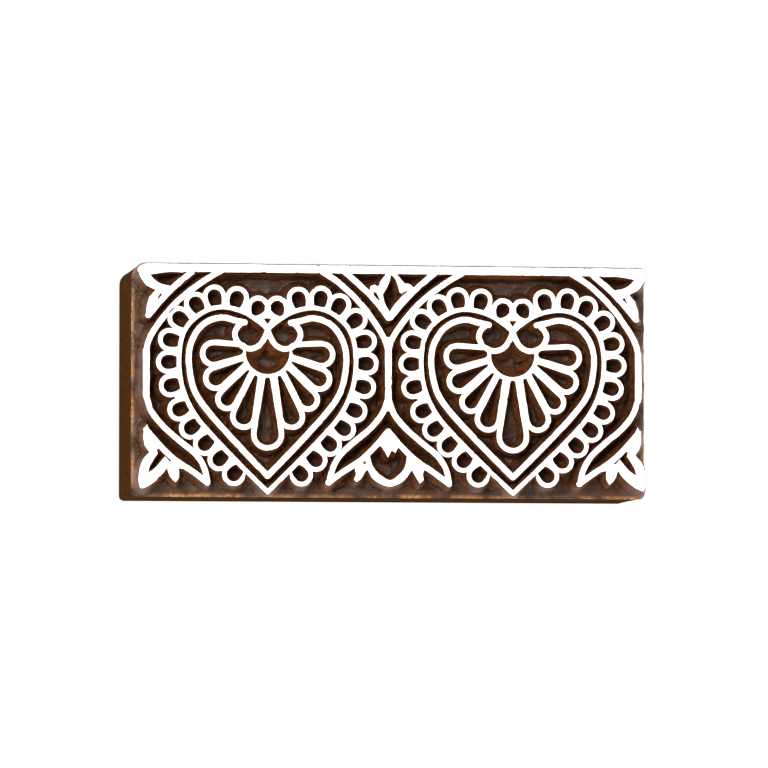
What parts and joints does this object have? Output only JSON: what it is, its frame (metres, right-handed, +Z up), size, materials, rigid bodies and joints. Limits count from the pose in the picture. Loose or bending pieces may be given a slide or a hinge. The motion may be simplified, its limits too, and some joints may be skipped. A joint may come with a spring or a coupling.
{
  "type": "wooden stamp",
  "caption": "Hand-carved rectangular wooden printing block with a raised border of hearts, scallops, arches and leaves under a straight rail, its printing lines coated white.",
  "frame": {"origin": "centre of the flat back of the block, at its underside", "axes": "+X along the block towards its right end as printed in the picture, +Y towards the rail, +Z up out of the printing face"},
  "size_m": [0.1168, 0.0524, 0.032],
  "materials": {
    "carved_wood": "oiled, satin, hand-carved",
    "white_coat": "dried white ground coat, matte"
  },
  "bodies": {
    "root": {"block": "carved_wood", "frame_coat": "white_coat", "left_heart_coat": "white_coat", "right_heart_coat": "white_coat"}
  },
  "joints": []
}
